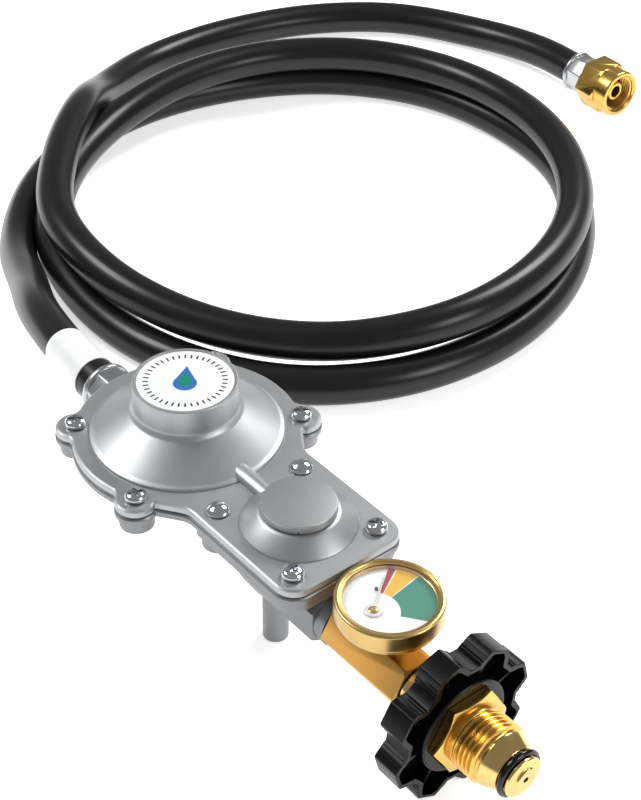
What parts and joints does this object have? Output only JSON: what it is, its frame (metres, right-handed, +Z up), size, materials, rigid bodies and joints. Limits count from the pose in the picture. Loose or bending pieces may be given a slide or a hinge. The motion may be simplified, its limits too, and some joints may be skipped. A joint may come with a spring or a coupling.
{
  "type": "propane regulator hose",
  "caption": "Two-stage gas regulator with a handwheel tank fitting, a contents gauge and a coiled rubber hose ending in a flared swivel nut.",
  "frame": {"origin": "on the standing surface, on the end face of the vent tube, straight under the inlet axis", "axes": "+X along the inlet axis from the hose outlet to the tank nose, +Z up"},
  "size_m": [0.5023, 0.4287, 0.0779],
  "materials": {
    "die_cast": "satin light-grey die casting",
    "chrome": "bright plated steel",
    "steel": "plain steel",
    "brass": "machined brass",
    "grey_plastic": "plain grey plastic",
    "white_label": "matt white film",
    "black_plastic": "glossy black moulded plastic",
    "rubber": "black rubber",
    "hose_rubber": "smooth black hose cover",
    "glass": "clear lens"
  },
  "bodies": {
    "root": {"body_casting": "die_cast", "bonnet_casting": "die_cast", "cover_screw_1": "chrome", "cover_screw_2": "chrome", "cover_screw_3": "chrome", "cover_screw_4": "chrome", "cover_screw_5": "chrome", "cover_screw_6": "chrome", "dome_screw_1": "die_cast", "dome_screw_2": "die_cast", "stage2_diaphragm": "rubber", "stage2_spring": "steel", "stage2_adjuster": "steel", "closing_cap": "die_cast", "cap_label": "white_label", "lever_pin": "steel", "stage2_orifice": "brass", "stage1_diaphragm": "rubber", "stage1_spring": "steel", "stage1_adjuster": "steel", "stage1_cap": "grey_plastic", "stage1_seat": "brass", "poppet_spring": "steel", "gauge_block": "brass", "gauge_case": "brass", "gauge_bezel": "brass", "gauge_dial": "white_label", "gauge_lens": "glass", "dial_stop": "rubber", "gauge_tube": "brass", "inlet_nipple": "brass", "nose_ring": "rubber", "check_seat": "brass", "excess_flow_spring": "steel", "inlet_filter": "brass", "vent_screen": "steel", "outlet_fitting": "brass", "outlet_ferrule": "chrome", "hose_tube": "hose_rubber", "hose_label": "white_label", "end_ferrule": "chrome", "flare_stem": "brass"},
    "relief_stack": {"relief_post": "steel", "relief_nut": "steel", "relief_spring": "steel"},
    "diaphragm_plate": {"stage2_plate": "steel"},
    "lever": {"stage2_lever": "steel"},
    "slider": {"stage2_slider": "steel", "slider_pad": "rubber"},
    "stage1_stack": {"stage1_plate": "steel", "stage1_button": "steel"},
    "poppet": {"stage1_poppet": "steel"},
    "pointer": {"gauge_pointer": "steel", "pointer_arbor": "brass"},
    "check_poppet": {"excess_flow_poppet": "brass"},
    "wheel_nut": {"handwheel": "black_plastic", "inlet_nut": "brass"},
    "swivel_nut": {"flare_nut": "brass"}
  },
  "joints": [
    {"name": "wheel_spin", "type": "hinge", "parent": "root", "child": "wheel_nut", "pos_m": [0.0852, 0, 0.0285], "axis": [1, 0, 0], "continuous": true},
    {"name": "swivel_spin", "type": "hinge", "parent": "root", "child": "swivel_nut", "pos_m": [-0.1855, 0.3706, 0.0124], "axis": [0.999, -0.0436, 0], "continuous": true},
    {"name": "pointer_sweep", "type": "hinge", "parent": "root", "child": "pointer", "pos_m": [0.0534, -0.0068, 0.0549], "axis": [0, 0, 1], "range_deg": [-88, 0]},
    {"name": "stage2_stroke", "type": "slide", "parent": "root", "child": "relief_stack", "axis": [0, 0, 1], "range_m": [0, 0.0014], "stiffness_N_per_m": 4000, "springref_m": -0.002, "deforming": ["stage2_spring", "stage2_diaphragm"]},
    {"name": "relief_lift", "type": "slide", "parent": "relief_stack", "child": "diaphragm_plate", "axis": [0, 0, 1], "range_m": [0, 0.001], "stiffness_N_per_m": 3000, "springref_m": -0.001, "deforming": ["relief_spring", "stage2_spring"]},
    {"name": "lever_swing", "type": "hinge", "parent": "root", "child": "lever", "pos_m": [-0.046, 0, 0.042], "axis": [0, 1, 0], "range_deg": [0, 8.1]},
    {"name": "slider_travel", "type": "slide", "parent": "root", "child": "slider", "axis": [1, 0, 0], "range_m": [0, 0.00064]},
    {"name": "stage1_stroke", "type": "slide", "parent": "root", "child": "stage1_stack", "axis": [0, 0, 1], "range_m": [0, 0.0007], "stiffness_N_per_m": 8000, "springref_m": -0.002, "deforming": ["stage1_spring", "stage1_diaphragm"]},
    {"name": "poppet_travel", "type": "slide", "parent": "root", "child": "poppet", "axis": [0, 0, 1], "range_m": [0, 0.00071], "deforming": ["poppet_spring"]},
    {"name": "check_travel", "type": "slide", "parent": "root", "child": "check_poppet", "axis": [-1, 0, 0], "range_m": [0, 0.0012], "stiffness_N_per_m": 200, "springref_m": -0.0005}
  ],
  "couplings": [
    {"joint": "lever_swing", "follows": "stage2_stroke", "rad_per_m": 100},
    {"joint": "slider_travel", "follows": "stage2_stroke", "ratio": 0.45},
    {"joint": "poppet_travel", "follows": "stage1_stroke", "ratio": 1}
  ]
}
